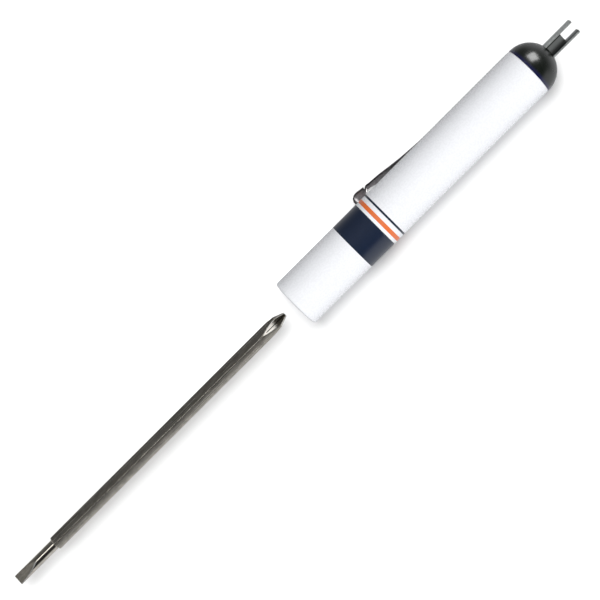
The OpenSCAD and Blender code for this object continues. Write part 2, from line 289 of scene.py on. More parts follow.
def new_mesh(name, points, faces, smooth_angle):
    """A mesh object from an array of points in millimetres and a list of faces, shaded smooth
    except along edges that are sharper than the angle given."""
    mesh = bpy.data.meshes.new(name)
    mesh.from_pydata((points * MM).tolist(), [], faces)
    mesh.polygons.foreach_set("use_smooth", np.ones(len(mesh.polygons), bool))
    mesh.set_sharp_from_angle(angle=smooth_angle)
    mesh.update()
    return add_piece(name, mesh)


def tube_faces(rings, sides):
    """Quads between neighbouring rings of points, each ring closed, and a fan of triangles at
    each end to two more points that come last."""
    ring = np.arange(rings - 1)[:, None] * sides
    side = np.arange(sides)[None, :]
    after = (side + 1) % sides
    quads = np.stack([ring + side, ring + after, ring + sides + after, ring + sides + side], -1)
    first, last = rings * sides, rings * sides + 1
    end = (rings - 1) * sides
    side, after = side[0], after[0]
    low = np.stack([np.full(sides, first), after, side], -1)
    high = np.stack([np.full(sides, last), end + side, end + after], -1)
    return quads.reshape(-1, 4).tolist() + low.tolist() + high.tolist()


def closed_tube(name, rings, smooth_angle):
    """A closed piece from rings of points, an array of rings by sides by 3, with a point in the
    middle of each end."""
    count, sides = rings.shape[:2]
    points = np.concatenate([rings.reshape(-1, 3), rings[:1].mean(1), rings[-1:].mean(1)])
    return new_mesh(name, points, tube_faces(count, sides), smooth_angle)


class Nodes:
    """A node tree under construction, with short calls that add its nodes and link them."""

    def __init__(self, tree):
        self.tree = tree

    def add(self, kind, inputs, output=0, **settings):
        """Adds a node, sets and links its inputs by name or number, and returns one output."""
        node = self.tree.nodes.new(kind)
        for key, value in settings.items():
            setattr(node, key, value)
        for key, value in inputs.items():
            if isinstance(value, bpy.types.NodeSocket):
                self.tree.links.new(value, node.inputs[key])
            else:
                node.inputs[key].default_value = value
        return node.outputs[output]

    def math(self, operation, *values):
        """Arithmetic on up to three numbers."""
        return self.add("ShaderNodeMath", dict(enumerate(values)), operation=operation)

    def product(self, total, *others):
        """Several numbers times each other."""
        for other in others:
            total = self.math("MULTIPLY", total, other)
        return total

    def greatest(self, most, *others):
        """The greatest of several numbers."""
        for other in others:
            most = self.math("MAXIMUM", most, other)
        return most

    def ramp(self, value, low, high, to_low, to_high):
        """A number carried from one range to another, and held at its ends."""
        return self.add(
            "ShaderNodeMapRange",
            {"Value": value, "From Min": low, "From Max": high, "To Min": to_low, "To Max": to_high},
        )

    def rise(self, value, low, high):
        """A mask that is 0 up to one number and 1 from another on."""
        return self.ramp(value, low, high, 0.0, 1.0)

    def fall(self, value, low, high):
        """A mask that is 1 up to one number and 0 from another on."""
        return self.ramp(value, low, high, 1.0, 0.0)

    def mix(self, factor, first, second):
        """A colour between two colours."""
        return self.add(
            "ShaderNodeMix", {0: factor, 6: first, 7: second}, output=2, data_type="RGBA"
        )

    def tones(self, factor, rgb, first, second):
        """A colour between two tones of itself, each made lighter or darker by a number."""
        return self.mix(factor, opaque(rgb, first), opaque(rgb, second))


class Shader(Nodes):
    """A material under construction: a Principled surface, places in millimetres and noise."""

    def __init__(self, name, **constants):
        self.material = bpy.data.materials.new(name)
        self.material.use_nodes = True
        super().__init__(self.material.node_tree)
        self.surface = self.tree.nodes["Principled BSDF"]
        for socket, value in constants.items():
            self.surface.inputs[socket.replace("_", " ")].default_value = value
        place = self.add("ShaderNodeTexCoord", {}, output="Object")
        self.place = self.scaled(place, (1 / MM, 1 / MM, 1 / MM))

    def scaled(self, vector, scale):
        """A vector with each part times its own number."""
        return self.add("ShaderNodeMapping", {"Vector": vector, "Scale": scale})

    def noise(self, per_mm, detail=2.0, rough=0.5):
        """Noise with so many cells per millimetre along X, Y and Z."""
        where = self.scaled(self.place, per_mm)
        return self.add(
            "ShaderNodeTexNoise", {"Vector": where, "Scale": 1.0, "Detail": detail, "Roughness": rough}
        )

    def along(self, axis):
        """Place along one axis, in millimetres."""
        return self.add("ShaderNodeSeparateXYZ", {0: self.place}, output=axis)

    def from_axis(self):
        """Place along Y and Z from the handle's axis, in millimetres."""
        y = self.math("SUBTRACT", self.along("Y"), AXIS_Y)
        z = self.math("SUBTRACT", self.along("Z"), AXIS_Z)
        return y, z

    def radius(self, y, z):
        """Distance from the handle's axis, the length of the step along Y and Z."""
        step = self.add("ShaderNodeCombineXYZ", {1: y, 2: z})
        return self.add("ShaderNodeVectorMath", {0: step}, output="Value", operation="LENGTH")

    def bump(self, height, depth, under=None):
        """A relief of so many millimetres, on top of another relief if there is one."""
        inputs = {"Height": height, "Distance": depth * MM, "Strength": 1.0}
        if under is not None:
            inputs["Normal"] = under
        return self.add("ShaderNodeBump", inputs)

    def set(self, **sockets):
        """Links outputs to the surface's sockets."""
        for socket, value in sockets.items():
            self.tree.links.new(value, self.surface.inputs[socket.replace("_", " ")])


def opaque(rgb, scale=1.0):
    """A colour with full alpha, made lighter or darker."""
    return (*(part * scale for part in rgb), 1.0)


def barrel_material(looks):
    """White moulded plastic with a fine orange peel, printed bands round the barrel and painted shade
    along the edge at the nose."""
    shader = Shader("white_plastic", IOR=1.49, Coat_Weight=0.25, Coat_Roughness=0.12)
    x = shader.along("X")
    wide = looks.band_start + looks.band_width / 2
    thin = looks.band_start + looks.band_width + looks.line_gap + looks.line_width / 2
    last = thin + looks.line_gap + looks.line_width
    in_wide = shader.math("COMPARE", x, NOSE_X + wide, looks.band_width / 2)
    in_thin = shader.math("COMPARE", x, NOSE_X + thin, looks.line_width / 2)
    in_last = shader.math("COMPARE", x, NOSE_X + last, looks.line_width / 4)
    outside = shader.math("GREATER_THAN", shader.radius(*shader.from_axis()), BARREL_R - PRINT_DEPTH)
    cloud = shader.noise((0.35, 0.35, 0.35))
    white = shader.tones(cloud, looks.plastic, 0.985, 1.015)
    ink_cloud = shader.noise((1.6, 1.6, 1.6), detail=3)
    navy = shader.tones(ink_cloud, looks.navy, 0.85, 1.25)
    orange = shader.tones(ink_cloud, looks.orange, 0.92, 1.05)
    dark_ink = shader.product(shader.greatest(in_wide, in_last), outside)
    light_ink = shader.product(in_thin, outside)
    paint = shader.mix(light_ink, shader.mix(dark_ink, white, navy), orange)
    # Painted shade: the plastic is darkened along the nose's rounded edge
    nose_shade_full, nose_shade_end = (NOSE_X + place for place in NOSE_SHADE_STRETCH)
    nose_shade = shader.ramp(x, nose_shade_full, nose_shade_end, NOSE_SHADE_SHARE, 0.0)
    paint = shader.mix(nose_shade, paint, opaque(looks.plastic, 0.3))
    speckle = shader.noise((2.5, 2.5, 2.5))
    rough = shader.ramp(speckle, *NOISE_NARROW, looks.roughness - 0.03, looks.roughness + 0.04)
    ink = shader.greatest(dark_ink, light_ink)
    rough = shader.math("ADD", rough, shader.product(ink, 0.08))
    peel = shader.noise((1.2, 1.2, 1.2), detail=3)
    grain = shader.noise((7, 7, 7))
    relief = shader.bump(grain, 0.0004, under=shader.bump(peel, 0.0025))
    shader.set(Base_Color=paint, Roughness=rough, Normal=relief)
    return shader.material


def cap_material(looks):
    """Black moulded plastic, a little mottled, with a faint orange peel and a painted bluish reflection
    at the rim.
    """
    shader = Shader("black_plastic", IOR=1.5, Coat_Weight=0.2, Coat_Roughness=0.14)
    cloud = shader.noise((0.6, 0.6, 0.6))
    black = shader.tones(cloud, looks.plastic, 0.8, 1.3)
    # Painted reflection: the cap turns bluish towards its rim
    reflection_full, reflection_end = (RIM_X + place for place in RIM_REFLECTION_STRETCH)
    rim_reflection = shader.fall(shader.along("X"), reflection_full, reflection_end)
    black = shader.mix(rim_reflection, black, opaque(looks.rim))
    speckle = shader.noise((1.2, 1.2, 1.2))
    rough = shader.ramp(speckle, *NOISE_NARROW, looks.roughness - 0.02, looks.roughness + 0.03)
    shader.set(Base_Color=black, Roughness=rough, Normal=shader.bump(speckle, 0.0015))
    return shader.material


def socket_material(looks):
    """Unpainted matt plastic with flow marks along the core."""
    shader = Shader("natural_plastic", IOR=1.47)
    flow = shader.noise((0.08, 1.5, 1.5), detail=3)
    tone = shader.tones(flow, looks.socket, 0.93, 1.04)
    rough = shader.ramp(flow, *NOISE_NARROW, 0.42, 0.55)
    shader.set(Base_Color=tone, Roughness=rough, Normal=shader.bump(flow, 0.01))
    return shader.material


def lands_highlight(shader, looks, radius, from_point):
    """Mask of the painted highlight on the cross point's lands, where the distance from the axis comes
    near that of the cone, which grows in a straight line from the point."""
    slope = math.tan(looks.point_angle)
    at_point = looks.point_d / 2 - looks.point_chamfer * slope
    cone = shader.math("MULTIPLY_ADD", from_point, slope, at_point)
    depth = shader.math("SUBTRACT", radius, cone)
    return shader.product(
        shader.ramp(depth, *LAND_HIGHLIGHT_DEPTH, 0.0, LAND_HIGHLIGHT_SHARE), shader.fall(from_point, *LAND_HIGHLIGHT_OUT)
    )


def tip_edge_highlight(shader, looks, y, z, radius):
    """Mask of the painted highlight along the edge on one side of the slotted tip: its height above
    the tip's middle plane comes near that of the flat, which grows in a straight line from the tip,
    and its distance from the axis comes near the neck's."""
    neck_r = looks.neck_d / 2
    slope = (looks.neck_d - looks.tip_t) / 2 / looks.tip_len
    from_tip = shader.math("SUBTRACT", shader.along("X"), BLADE_X)
    flat = shader.math("MULTIPLY_ADD", from_tip, slope, looks.tip_t / 2)
    upward = shader.math("MULTIPLY", z, math.cos(looks.tip_roll))
    height = shader.math("MULTIPLY_ADD", y, math.sin(looks.tip_roll), upward)
    off_flat = shader.math("SUBTRACT", shader.math("ABSOLUTE", height), flat)
    return shader.product(
        shader.rise(radius, *(neck_r + place for place in EDGE_HIGHLIGHT_RADIUS)),
        shader.rise(off_flat, *EDGE_HIGHLIGHT_HEIGHT),
        shader.math("LESS_THAN", from_tip, looks.tip_len + EDGE_HIGHLIGHT_PAST_FLAT),
        shader.fall(y, *EDGE_HIGHLIGHT_SIDE),
    )


def blade_material(looks):
    """Where the flutes run out it is bare steel, made bright as a painted highlight; the lands between
    them and an edge of the slotted tip carry painted highlights, and painted shade runs along the
    flutes' roots.
    the slotted tip, and dark along the flutes' roots."""
    shader = Shader("blade_steel", Metallic=1.0)
    y, z = shader.from_axis()
    radius = shader.radius(y, z)
    ground = shader.fall(radius, *(BAR_FLATS / 2 + place for place in GROUND_DEPTH))
    neck = (looks.tip_len + looks.neck_len) / 2
    on_neck = shader.math("COMPARE", shader.along("X"), BLADE_X + neck, looks.neck_len - neck)
    drawn = shader.noise((0.04, 9, 9), detail=3, rough=0.6)
    turned = shader.noise((11, 0.25, 0.25), detail=3, rough=0.6)
    lines = shader.add("ShaderNodeMix", {0: on_neck, 2: drawn, 3: turned})
    cloud = shader.noise((0.5, 1.2, 1.2), detail=4, rough=0.6)
    steel = shader.tones(shader.rise(cloud, 0.35, 0.7), looks.steel, 1.15, 0.75)
    steel = shader.mix(shader.ramp(lines, *NOISE_WIDE, 0.0, 0.25), steel, opaque(looks.steel, 0.7))
    from_point = shader.math("SUBTRACT", BLADE_X + BLADE_LEN, shader.along("X"))
    flute_end = looks.flute_len
    # Painted highlight: bare steel made bright where the flutes run out
    run_out = shader.product(
        shader.rise(from_point, *FLUTE_HIGHLIGHT_IN),
        shader.fall(from_point, flute_end, flute_end + FLUTE_HIGHLIGHT_OUT),
        ground,
    )
    # Painted highlights: the flutes' run-out, the cross point's lands and the slotted tip's edge
    bright = shader.greatest(
        run_out,
        lands_highlight(shader, looks, radius, from_point),
        tip_edge_highlight(shader, looks, y, z, radius),
    )
    steel = shader.mix(shader.product(bright, looks.bare_and_highlight_share), steel, opaque(BARE_STEEL_AND_HIGHLIGHT))
    beside_root = shader.math("MINIMUM", shader.math("ABSOLUTE", y), shader.math("ABSOLUTE", z))
    # Painted shade along the flutes' roots
    root_shade = shader.product(
        shader.fall(beside_root, *ROOT_SHADE),
        shader.fall(from_point, *(flute_end + place for place in ROOT_SHADE_OUT)),
        ground,
    )
    steel = shader.mix(root_shade, steel, opaque(looks.steel, 0.35))
    rough = shader.ramp(ground, 0, 1, looks.roughness, looks.ground_roughness)
    rough = shader.math("ADD", rough, shader.ramp(lines, 0.2, 0.8, -0.05, 0.05))
    relief = shader.bump(lines, 0.003, under=shader.bump(cloud, 0.004))
    shader.set(Base_Color=steel, Roughness=rough, Normal=relief)
    return shader.material


def clip_material(looks):
    """Darkened spring steel, rolled along the strip and mottled."""
    shader = Shader("spring_steel", Metallic=1.0)
    strip = shader.add("ShaderNodeUVMap", {}, uv_map="strip")
    rolled = shader.add(
        "ShaderNodeTexNoise",
        {"Vector": shader.scaled(strip, (0.15, 12, 1)), "Scale": 1.0, "Detail": 3.0},
    )
    cloud = shader.noise((1.3, 1.3, 1.3), detail=4, rough=0.65)
    steel = shader.tones(shader.rise(cloud, 0.38, 0.66), looks.steel, 1.25, 0.7)
    rough = shader.ramp(rolled, *NOISE_WIDE, looks.roughness - 0.08, looks.roughness + 0.1)
    relief = shader.bump(rolled, 0.005, under=shader.bump(cloud, 0.01))
    shader.set(Base_Color=steel, Roughness=rough, Normal=relief)
    return shader.material


def channel_shade(shader, looks):
    """Masks of painted shade in the fork's channel: inside its walls, and its deepest painted shade,
    which is on the low wall and in a line along the web. Both are told from the place across the
    channel and above its middle, which are Y and Z turned about the handle's axis."""
    y, z = shader.from_axis()
    cos, sin = math.cos(looks.roll), math.sin(looks.roll)
    across = shader.math("ADD", shader.product(y, cos), shader.product(z, sin))
    upward = shader.math("SUBTRACT", shader.product(z, cos), shader.product(y, sin))
    half = looks.inner_w / 2
    # Painted shade inside the channel's walls
    inside = shader.fall(shader.math("ABSOLUTE", across), *(half + place for place in CHANNEL_SHADE_EDGE))
    low_wall_shade = shader.product(
        shader.rise(across, LOW_WALL_SHADE_DEPTH - half, -half), shader.rise(upward, *LOW_WALL_SHADE_HEIGHT)
    )
    web_shade = shader.product(
        shader.rise(across, *WEB_SHADE_SIDE), shader.fall(upward, *WEB_SHADE_HEIGHT)
    )
    return inside, shader.greatest(low_wall_shade, web_shade)


def fork_material(looks):
    """Plated steel sheet with rolling lines along it and dull blotches, with painted shade inside the
    channel."""
    shader = Shader("fork_steel", Metallic=1.0)
    rolled = shader.noise((0.3, 7, 7), detail=4, rough=0.6)
    cloud = shader.noise((1.8, 3.0, 3.0), detail=4, rough=0.65)
    steel = shader.tones(shader.rise(cloud, 0.38, 0.65), looks.steel, 1.25, 0.62)
    steel = shader.mix(shader.ramp(rolled, *NOISE_NARROW, 0.0, 0.4), steel, opaque(looks.steel, 0.6))
    # Painted shade: the channel is darkened inside, most on the low wall and along the web
    inside, deepest_shade = channel_shade(shader, looks)
    steel = shader.mix(inside, steel, shader.tones(deepest_shade, looks.steel, 0.48, 0.1))
    rough = shader.ramp(rolled, *NOISE_WIDE, looks.roughness - 0.08, looks.roughness + 0.1)
    relief = shader.bump(rolled, 0.012, under=shader.bump(cloud, 0.008))
    shader.set(Base_Color=steel, Roughness=rough, Normal=relief)
    return shader.material


def nearest(candidates, sharpness=60):
    """The least of several radii at each place, blended near their crossings: the sum of the
    radii's inverse powers, to the inverse power."""
    stack = np.stack(candidates)
    least = stack.min(0)
    return least * ((stack / least) ** -sharpness).sum(0) ** (-1 / sharpness)


def hexagon_radius(angle):
    """Distance from the axis to the drawn bar's six flats, with corners rounded to the bar's own
    radius: the inverse powers of the distances to the flats are summed. Each flat is crowned, so
    its distance falls with the square of the tangent from its middle."""
    flats = math.radians(30) + np.arange(6) * math.pi / 3
    facing = np.clip(np.cos(angle[..., None] - flats), 1e-6, 1)
    crowned = 1 - FLAT_CROWN * np.clip(1 / facing**2 - 1, 0, 1)
    corner = BAR_FLATS / 2 / math.cos(math.radians(30)) * (1 - FLAT_CROWN / 3)
    power = math.log(2) / math.log(corner / BAR_ROUND_R)
    return BAR_FLATS / 2 * ((facing / crowned) ** power).sum(-1) ** (-1 / power)


def blade_radius(v, angle, looks):
    """Distance from the blade's axis to its surface, at v millimetres from the slotted tip and at
    an angle from straight up. It is the least of the turned outline, the six flats of the bar, the
    four flutes and the two flats of the slotted tip."""
    least_opening, far_off = 0.01, 9.0
    neck_r = looks.neck_d / 2
    foot = looks.neck_len - looks.neck_fillet
    into = np.clip(v - foot, 0, looks.neck_fillet)
    fillet = looks.neck_fillet - np.sqrt(looks.neck_fillet**2 - into**2)
    shoulder = BAR_ROUND_R - looks.shoulder_chamfer + np.clip(v - looks.neck_len, 0, 1)
    turned = np.where(v < looks.neck_len, neck_r + fillet, shoulder)
    left = BLADE_LEN - v
    blunt = looks.point_d / 2 - looks.point_chamfer + left
    cone = looks.point_d / 2 + (left - looks.point_chamfer) * math.tan(looks.point_angle)
    turned = nearest([turned, blunt, cone], sharpness=90)

    depth = BAR_ROUND_R - looks.flute_root
    wheel_r = (looks.flute_len**2 + depth**2) / (2 * depth)
    reach = np.clip(left, 0, wheel_r)
    root = looks.flute_root + wheel_r - np.sqrt(wheel_r**2 - reach**2)
    quarter = math.pi / 2
    from_flute = np.abs((angle + quarter / 2) % quarter - quarter / 2)
    opening = np.cos(from_flute) - np.sin(from_flute) / math.tan(looks.flute_angle / 2)
    flute = root / np.maximum(opening, least_opening)

    rise = (looks.neck_d - looks.tip_t) / 2 / looks.tip_len
    half_tip = looks.tip_t / 2 + rise * v
    facing = np.abs(np.cos(angle - looks.tip_roll))
    ground_flat = half_tip / np.maximum(facing, least_opening)
    flat = np.where(v <= looks.tip_len * 1.02, ground_flat, far_off)
    bar = nearest([hexagon_radius(angle) + 0 * v, turned + 0 * angle], sharpness=90)
    return nearest([bar, flute, flat])


def blade_stations(looks):
    """Places along the blade, close together where its shape changes."""
    flats_end = looks.tip_len + 0.3
    shoulder_start, shoulder_end = looks.neck_len - 0.4, looks.neck_len + 0.6
    flutes_start = BLADE_LEN - looks.flute_len - 0.4
    cone_start = BLADE_LEN - 2.6
    return np.unique(np.concatenate([
        np.linspace(0, flats_end, 66),
        np.linspace(flats_end, shoulder_start, 12),
        np.linspace(shoulder_start, shoulder_end, 31),
        [looks.neck_len - 0.001],
        np.linspace(shoulder_end, flutes_start, 24),
        np.linspace(flutes_start, cone_start, 60),
        np.linspace(cone_start, BLADE_LEN, 56),
    ]))


def arc(centre, radius, start, stop, count):
    """Points at even angles round a centre."""
    angles = np.linspace(start, stop, count)
    return np.array(centre) + radius * np.stack([np.cos(angles), np.sin(angles)], -1)


def line(first, second, count):
    """Points at even steps from one place to another."""
    steps = np.linspace(0, 1, count)[:, None]
    return np.array(first) * (1 - steps) + np.array(second) * steps


def clip_path(looks):
    """The middle of the clip's sheet as places along the handle and distances from its axis, from
    the tab's end over the rim, along the arm and round the foot's curl, with each bend an arc."""
    cos, sin = math.cos, math.sin
    slope, step_slope, foot_slope = looks.slope, looks.step_slope, looks.foot_slope
    curl, root_bend = looks.curl, looks.root_bend
    hug = BARREL_R + looks.gap + looks.sheet / 2
    hook = RIM_X - looks.sheet / 2
    bend_r = looks.bend_len / slope
    foot_run = looks.foot_run * cos(foot_slope) + curl * (1 + sin(foot_slope)) + looks.sheet / 2
    step_x = CLIP_TIP_X + foot_run + looks.step * cos(step_slope)
    hug_x = step_x + bend_r * sin(slope) + looks.straight * cos(slope)
    arm_end_r = hug + bend_r * (1 - cos(slope)) + looks.straight * sin(slope)
    arm_end = np.array([step_x, arm_end_r])
    foot_start = arm_end - looks.step * np.array([cos(step_slope), sin(step_slope)])
    curl_start = foot_start + looks.foot_run * np.array([-cos(foot_slope), sin(foot_slope)])
    curl_centre = curl_start - curl * np.array([sin(foot_slope), cos(foot_slope)])
    foot_end = (curl_centre[0] - curl, BARREL_R + looks.gap)

    quarter = math.pi / 2
    rim = arc((hook - root_bend, hug - root_bend), root_bend, 0, quarter, 16)
    bend = arc((hug_x, hug + bend_r), bend_r, -quarter, -quarter - slope, 30)
    end = arc(curl_centre, curl, quarter - foot_slope, math.pi, 26)
    runs = [
        line((hook, BARREL_R - looks.tab), rim[0], 8),
        rim,
        line(rim[-1], bend[0], 30),
        bend,
        line(bend[-1], arm_end, 24),
        line(arm_end, foot_start, 10),
        line(foot_start, end[0], 16),
        end,
        line(end[-1], foot_end, 4),
    ]
    path = np.concatenate([run[:-1] for run in runs] + [np.array([foot_end])])
    return path, step_x


def clip_halves(path, step_x, looks):
    """Half the strip's width at each point of its path: full at the foot and rounded off round the
    corners of the curl's end, nicked at the step, narrow at the arm's end, and wide again past
    the arm's taper."""
    inside = np.clip((path[:, 0] - CLIP_TIP_X) / looks.corner, 0, 1)
    corner = looks.corner * (1 - np.sqrt(1 - (1 - inside) ** 2))
    step, taper = looks.step, looks.taper
    widths = {
        -1.2 * step: looks.foot_w,
        -1.0 * step: looks.nick_w,
        -0.1 * step: looks.nick_w,
        0.1 * step: looks.arm_w,
        0.2 * taper: looks.arm_w,
        0.6 * taper: looks.root_w * 0.85,
        taper: looks.root_w,
    }
    return np.interp(path[:, 0] - step_x, list(widths), list(widths.values())) / 2 - corner


def clip_rings(looks):
    """The clip as rings of points: a rounded rectangle of the strip's width and thickness, a
    superellipse of power twelve, carried square to the path, then turned round the handle's axis.
    The edge next to the barrel is cut back at the arm's end, in full over two fifths of the cut's
    length and then less and less in a straight line. Near the step, points move along the handle
    by a share of their place across, under a bell curve. Returns the rings and each point's place
    along and across the strip."""
    path, step_x = clip_path(looks)
    half = clip_halves(path, step_x, looks)
    heading = np.gradient(path, axis=0)
    heading /= np.linalg.norm(heading, axis=1)[:, None]
    outward = np.stack([-heading[:, 1], heading[:, 0]], -1)
    sides = 40
    angle = np.linspace(0, 2 * math.pi, sides, endpoint=False)
    power = 2 / 12
    across = np.sign(np.cos(angle)) * np.abs(np.cos(angle)) ** power
    through = np.sign(np.sin(angle)) * np.abs(np.sin(angle)) ** power / 2
    from_step = path[:, :1] - step_x
    run_out = [0, 0.4 * looks.inner_cut_len, looks.inner_cut_len]
    cut = looks.inner_cut * np.interp(from_step, run_out, [1, 1, 0], left=0)
    side = half[:, None] * across[None, :] - cut * np.clip(across, 0, 1)[None, :]
    near_step = np.exp(-(((from_step + looks.step / 2) / looks.skew_len) ** 2))
    lift = through[None, :] * looks.sheet
    x = path[:, :1] + outward[:, :1] * lift - looks.skew * side * near_step
    r = path[:, 1:] + outward[:, 1:] * lift
    up_y, up_z = math.sin(looks.roll), -math.cos(looks.roll)
    y = AXIS_Y + r * up_y + side * up_z
    z = AXIS_Z + r * up_z - side * up_y
    steps = np.linalg.norm(np.diff(path[::-1], axis=0), axis=1)
    from_end = np.concatenate([[0], np.cumsum(steps)])[::-1]
    uv = np.stack([np.repeat(from_end[:, None], sides, 1), side], -1)
    return np.stack([x, y, z], -1), uv


def give_uv(piece, name, uv):
    """Writes an array of one UV place per point, and the middle of each end, as a UV map."""
    points = np.concatenate([uv.reshape(-1, 2), uv[:1].mean(1), uv[-1:].mean(1)])
    corner = np.empty(len(piece.data.loops), np.int32)
    piece.data.loops.foreach_get("vertex_index", corner)
    layer = piece.data.uv_layers.new(name=name)
    layer.data.foreach_set("uv", points[corner].astype(np.float32).ravel())


def merged_copy(node, name):
    """A copy of a CAD node with its loose triangles joined along their edges."""
    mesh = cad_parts[node].data.copy()
    mesh.name = name
    work = bmesh.new()
    work.from_mesh(mesh)
    bmesh.ops.remove_doubles(work, verts=work.verts, dist=1e-7)
    bmesh.ops.dissolve_limit(
        work, angle_limit=math.radians(0.5), verts=work.verts, edges=work.edges
    )
    work.to_mesh(mesh)
    work.free()
    mesh.materials.clear()
    return add_piece(name, mesh)


def dress(node, material):
    """Gives a CAD node a new material."""
    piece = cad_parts[node]
    for slot in piece.material_slots:
        slot.material = material


class SCREWDRIVER_OT_barrel(bpy.types.Operator):
    """Finish the barrel in white plastic with printed bands"""

    bl_idname = "screwdriver.barrel"
    bl_label = "Barrel"

    def execute(self, context):
        dress("barrel", barrel_material(context.scene.barrel_looks))
        return {"FINISHED"}


class SCREWDRIVER_OT_cap(bpy.types.Operator):
    """Finish the domed cap and the socket"""

    bl_idname = "screwdriver.cap"
    bl_label = "Cap and socket"

    def execute(self, context):
        dress("end_cap", cap_material(context.scene.cap_looks))
        dress("blade_socket", socket_material(context.scene.cap_looks))
        return {"FINISHED"}


class SCREWDRIVER_OT_blade(bpy.types.Operator):
    """Make the blade with its bar, slotted tip and cross point"""

    bl_idname = "screwdriver.blade"
    bl_label = "Blade"

    def execute(self, context):
        looks = context.scene.blade_looks
        v = blade_stations(looks)[:, None]
        angle = np.linspace(0, 2 * math.pi, 240, endpoint=False)[None, :]
        r = blade_radius(v, angle, looks)
        y, z = AXIS_Y + r * np.sin(angle), AXIS_Z + r * np.cos(angle)
        rings = np.stack([BLADE_X + v + 0 * r, y, z], -1)
        piece = closed_tube("blade_bar", rings[:, ::-1], math.radians(35))
        piece.data.materials.append(blade_material(looks))
        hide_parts("driver_blade")
        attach(piece, "blade")
        return {"FINISHED"}


class SCREWDRIVER_OT_clip(bpy.types.Operator):
    """Make the sprung pocket clip"""

    bl_idname = "screwdriver.clip"
    bl_label = "Pocket clip"

    def execute(self, context):
        looks = context.scene.clip_looks
        rings, uv = clip_rings(looks)
        piece = closed_tube("clip_strip", rings, math.radians(40))
        give_uv(piece, "strip", uv)
        piece.data.materials.append(clip_material(looks))
        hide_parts("pocket_clip")
        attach(piece, "clip")
        return {"FINISHED"}


class SCREWDRIVER_OT_fork(bpy.types.Operator):
    """Make the forked channel with rounded edges"""

    bl_idname = "screwdriver.fork"
    bl_label = "Valve core tool"

    def execute(self, context):
        looks = context.scene.fork_looks
        piece = merged_copy("valve_core_tool", "fork_sheet")
        piece.data.materials.append(fork_material(looks))
        rounding = piece.modifiers.new("edges", "BEVEL")
        rounding.width = looks.edge * MM
        rounding.segments = 3
        rounding.limit_method = "ANGLE"
        rounding.angle_limit = math.radians(40)
        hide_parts("valve_core_tool")
        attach(piece, "handle")
        return {"FINISHED"}


def group_of(name, pieces):
    """A collection that lists pieces for a light: what it falls on, or what casts its shadow."""
    group = bpy.data.collections.new(name)
    for piece in pieces:
        group.objects.link(piece)
    return group


def place_lamp(name, lamp, falls_on):
    """A new object in the scene with the lamp given, which lights only the pieces listed."""
    place = bpy.data.objects.new(name, lamp)
    place.rotation_mode = "QUATERNION"
    place.light_linking.receiver_collection = falls_on
    bpy.context.scene.collection.objects.link(place)
    return place


def sun(name, direction, spread, strength, falls_on, blocked_by=None):
    """A distant lamp in the direction given, so many degrees wide, that leaves no reflection."""
    lamp = bpy.data.lights.new(name, "SUN")
    lamp.angle = math.radians(spread)
    lamp.energy = strength
    place = place_lamp(name, lamp, falls_on)
    place.rotation_quaternion = Vector(direction).to_track_quat("Z", "Y")
    place.visible_glossy = False
    if blocked_by is not None:
        place.light_linking.blocker_collection = blocked_by


def softbox(name, direction, width, depth, radiance, falls_on):
    """A rectangular lamp a metre from the handle, of a given brightness, that shows only as a
    reflection. Its width lies across the handle where it can, its depth along it."""
    lamp = bpy.data.lights.new(name, "AREA")
    lamp.shape = "RECTANGLE"
    lamp.size, lamp.size_y = width, depth
    lamp.energy = radiance * math.pi * width * depth
    place = place_lamp(name, lamp, falls_on)
    towards = Vector(direction).normalized()
    beside = Vector((1, 0, 0)).cross(towards).normalized()
    along = towards.cross(beside)
    place.location = Vector((0, AXIS_Y, AXIS_Z)) * MM + towards
    place.rotation_quaternion = Matrix((beside, along, towards)).transposed().to_quaternion()
    place.visible_camera = False
    place.visible_diffuse = False


def studio_sky(looks):
    """Soft room light. Round the handle's axis, from straight down over +Y, up and -Y, it runs
    through a dim side, a dark ceiling and a bright side. Towards both ends it is dim above the
    table's height and brighter below. The camera sees white in its place."""
    world = bpy.data.worlds.new("studio")
    world.use_nodes = True
    tree = world.node_tree
    tree.nodes.clear()
    sky = Nodes(tree)
    direction = sky.add("ShaderNodeTexCoord", {}, output="Generated")
    x, y, z = (sky.add("ShaderNodeSeparateXYZ", {0: direction}, output=axis) for axis in "XYZ")
    round_axis = sky.math("ARCTAN2", sky.product(y, -1), z)
    side_light = sky.add("ShaderNodeValToRGB", {0: sky.rise(round_axis, -math.pi, math.pi)})
    stops = side_light.node.color_ramp.elements
    while len(stops) < len(SKY_ROUND):
        stops.new(0.5)
    for stop, (degrees, level) in zip(stops, SKY_ROUND):
        stop.position = (degrees + 180) / 360
        stop.color = (level, level, level, 1)
    end_light = sky.ramp(z, *END_HEIGHT, looks.end_low, looks.end_high)
    end_from, end_full = END_SHARE
    towards_end = sky.add(
        "ShaderNodeMapRange",
        {"Value": sky.math("ABSOLUTE", x), "From Min": end_from, "From Max": end_full},
        interpolation_type="SMOOTHSTEP",
    )
    level = sky.add("ShaderNodeMix", {0: towards_end, 2: side_light, 3: end_light})
    room = sky.add("ShaderNodeBackground", {"Color": SKY_TINT, "Strength": level})
    backdrop = sky.add("ShaderNodeBackground", {"Color": opaque((1, 1, 1))})
    seen = sky.add("ShaderNodeLightPath", {}, output="Is Camera Ray")
    light = sky.add("ShaderNodeMixShader", {0: seen, 1: room, 2: backdrop})
    tree.links.new(light, tree.nodes.new("ShaderNodeOutputWorld").inputs[0])
    bpy.context.scene.world = world


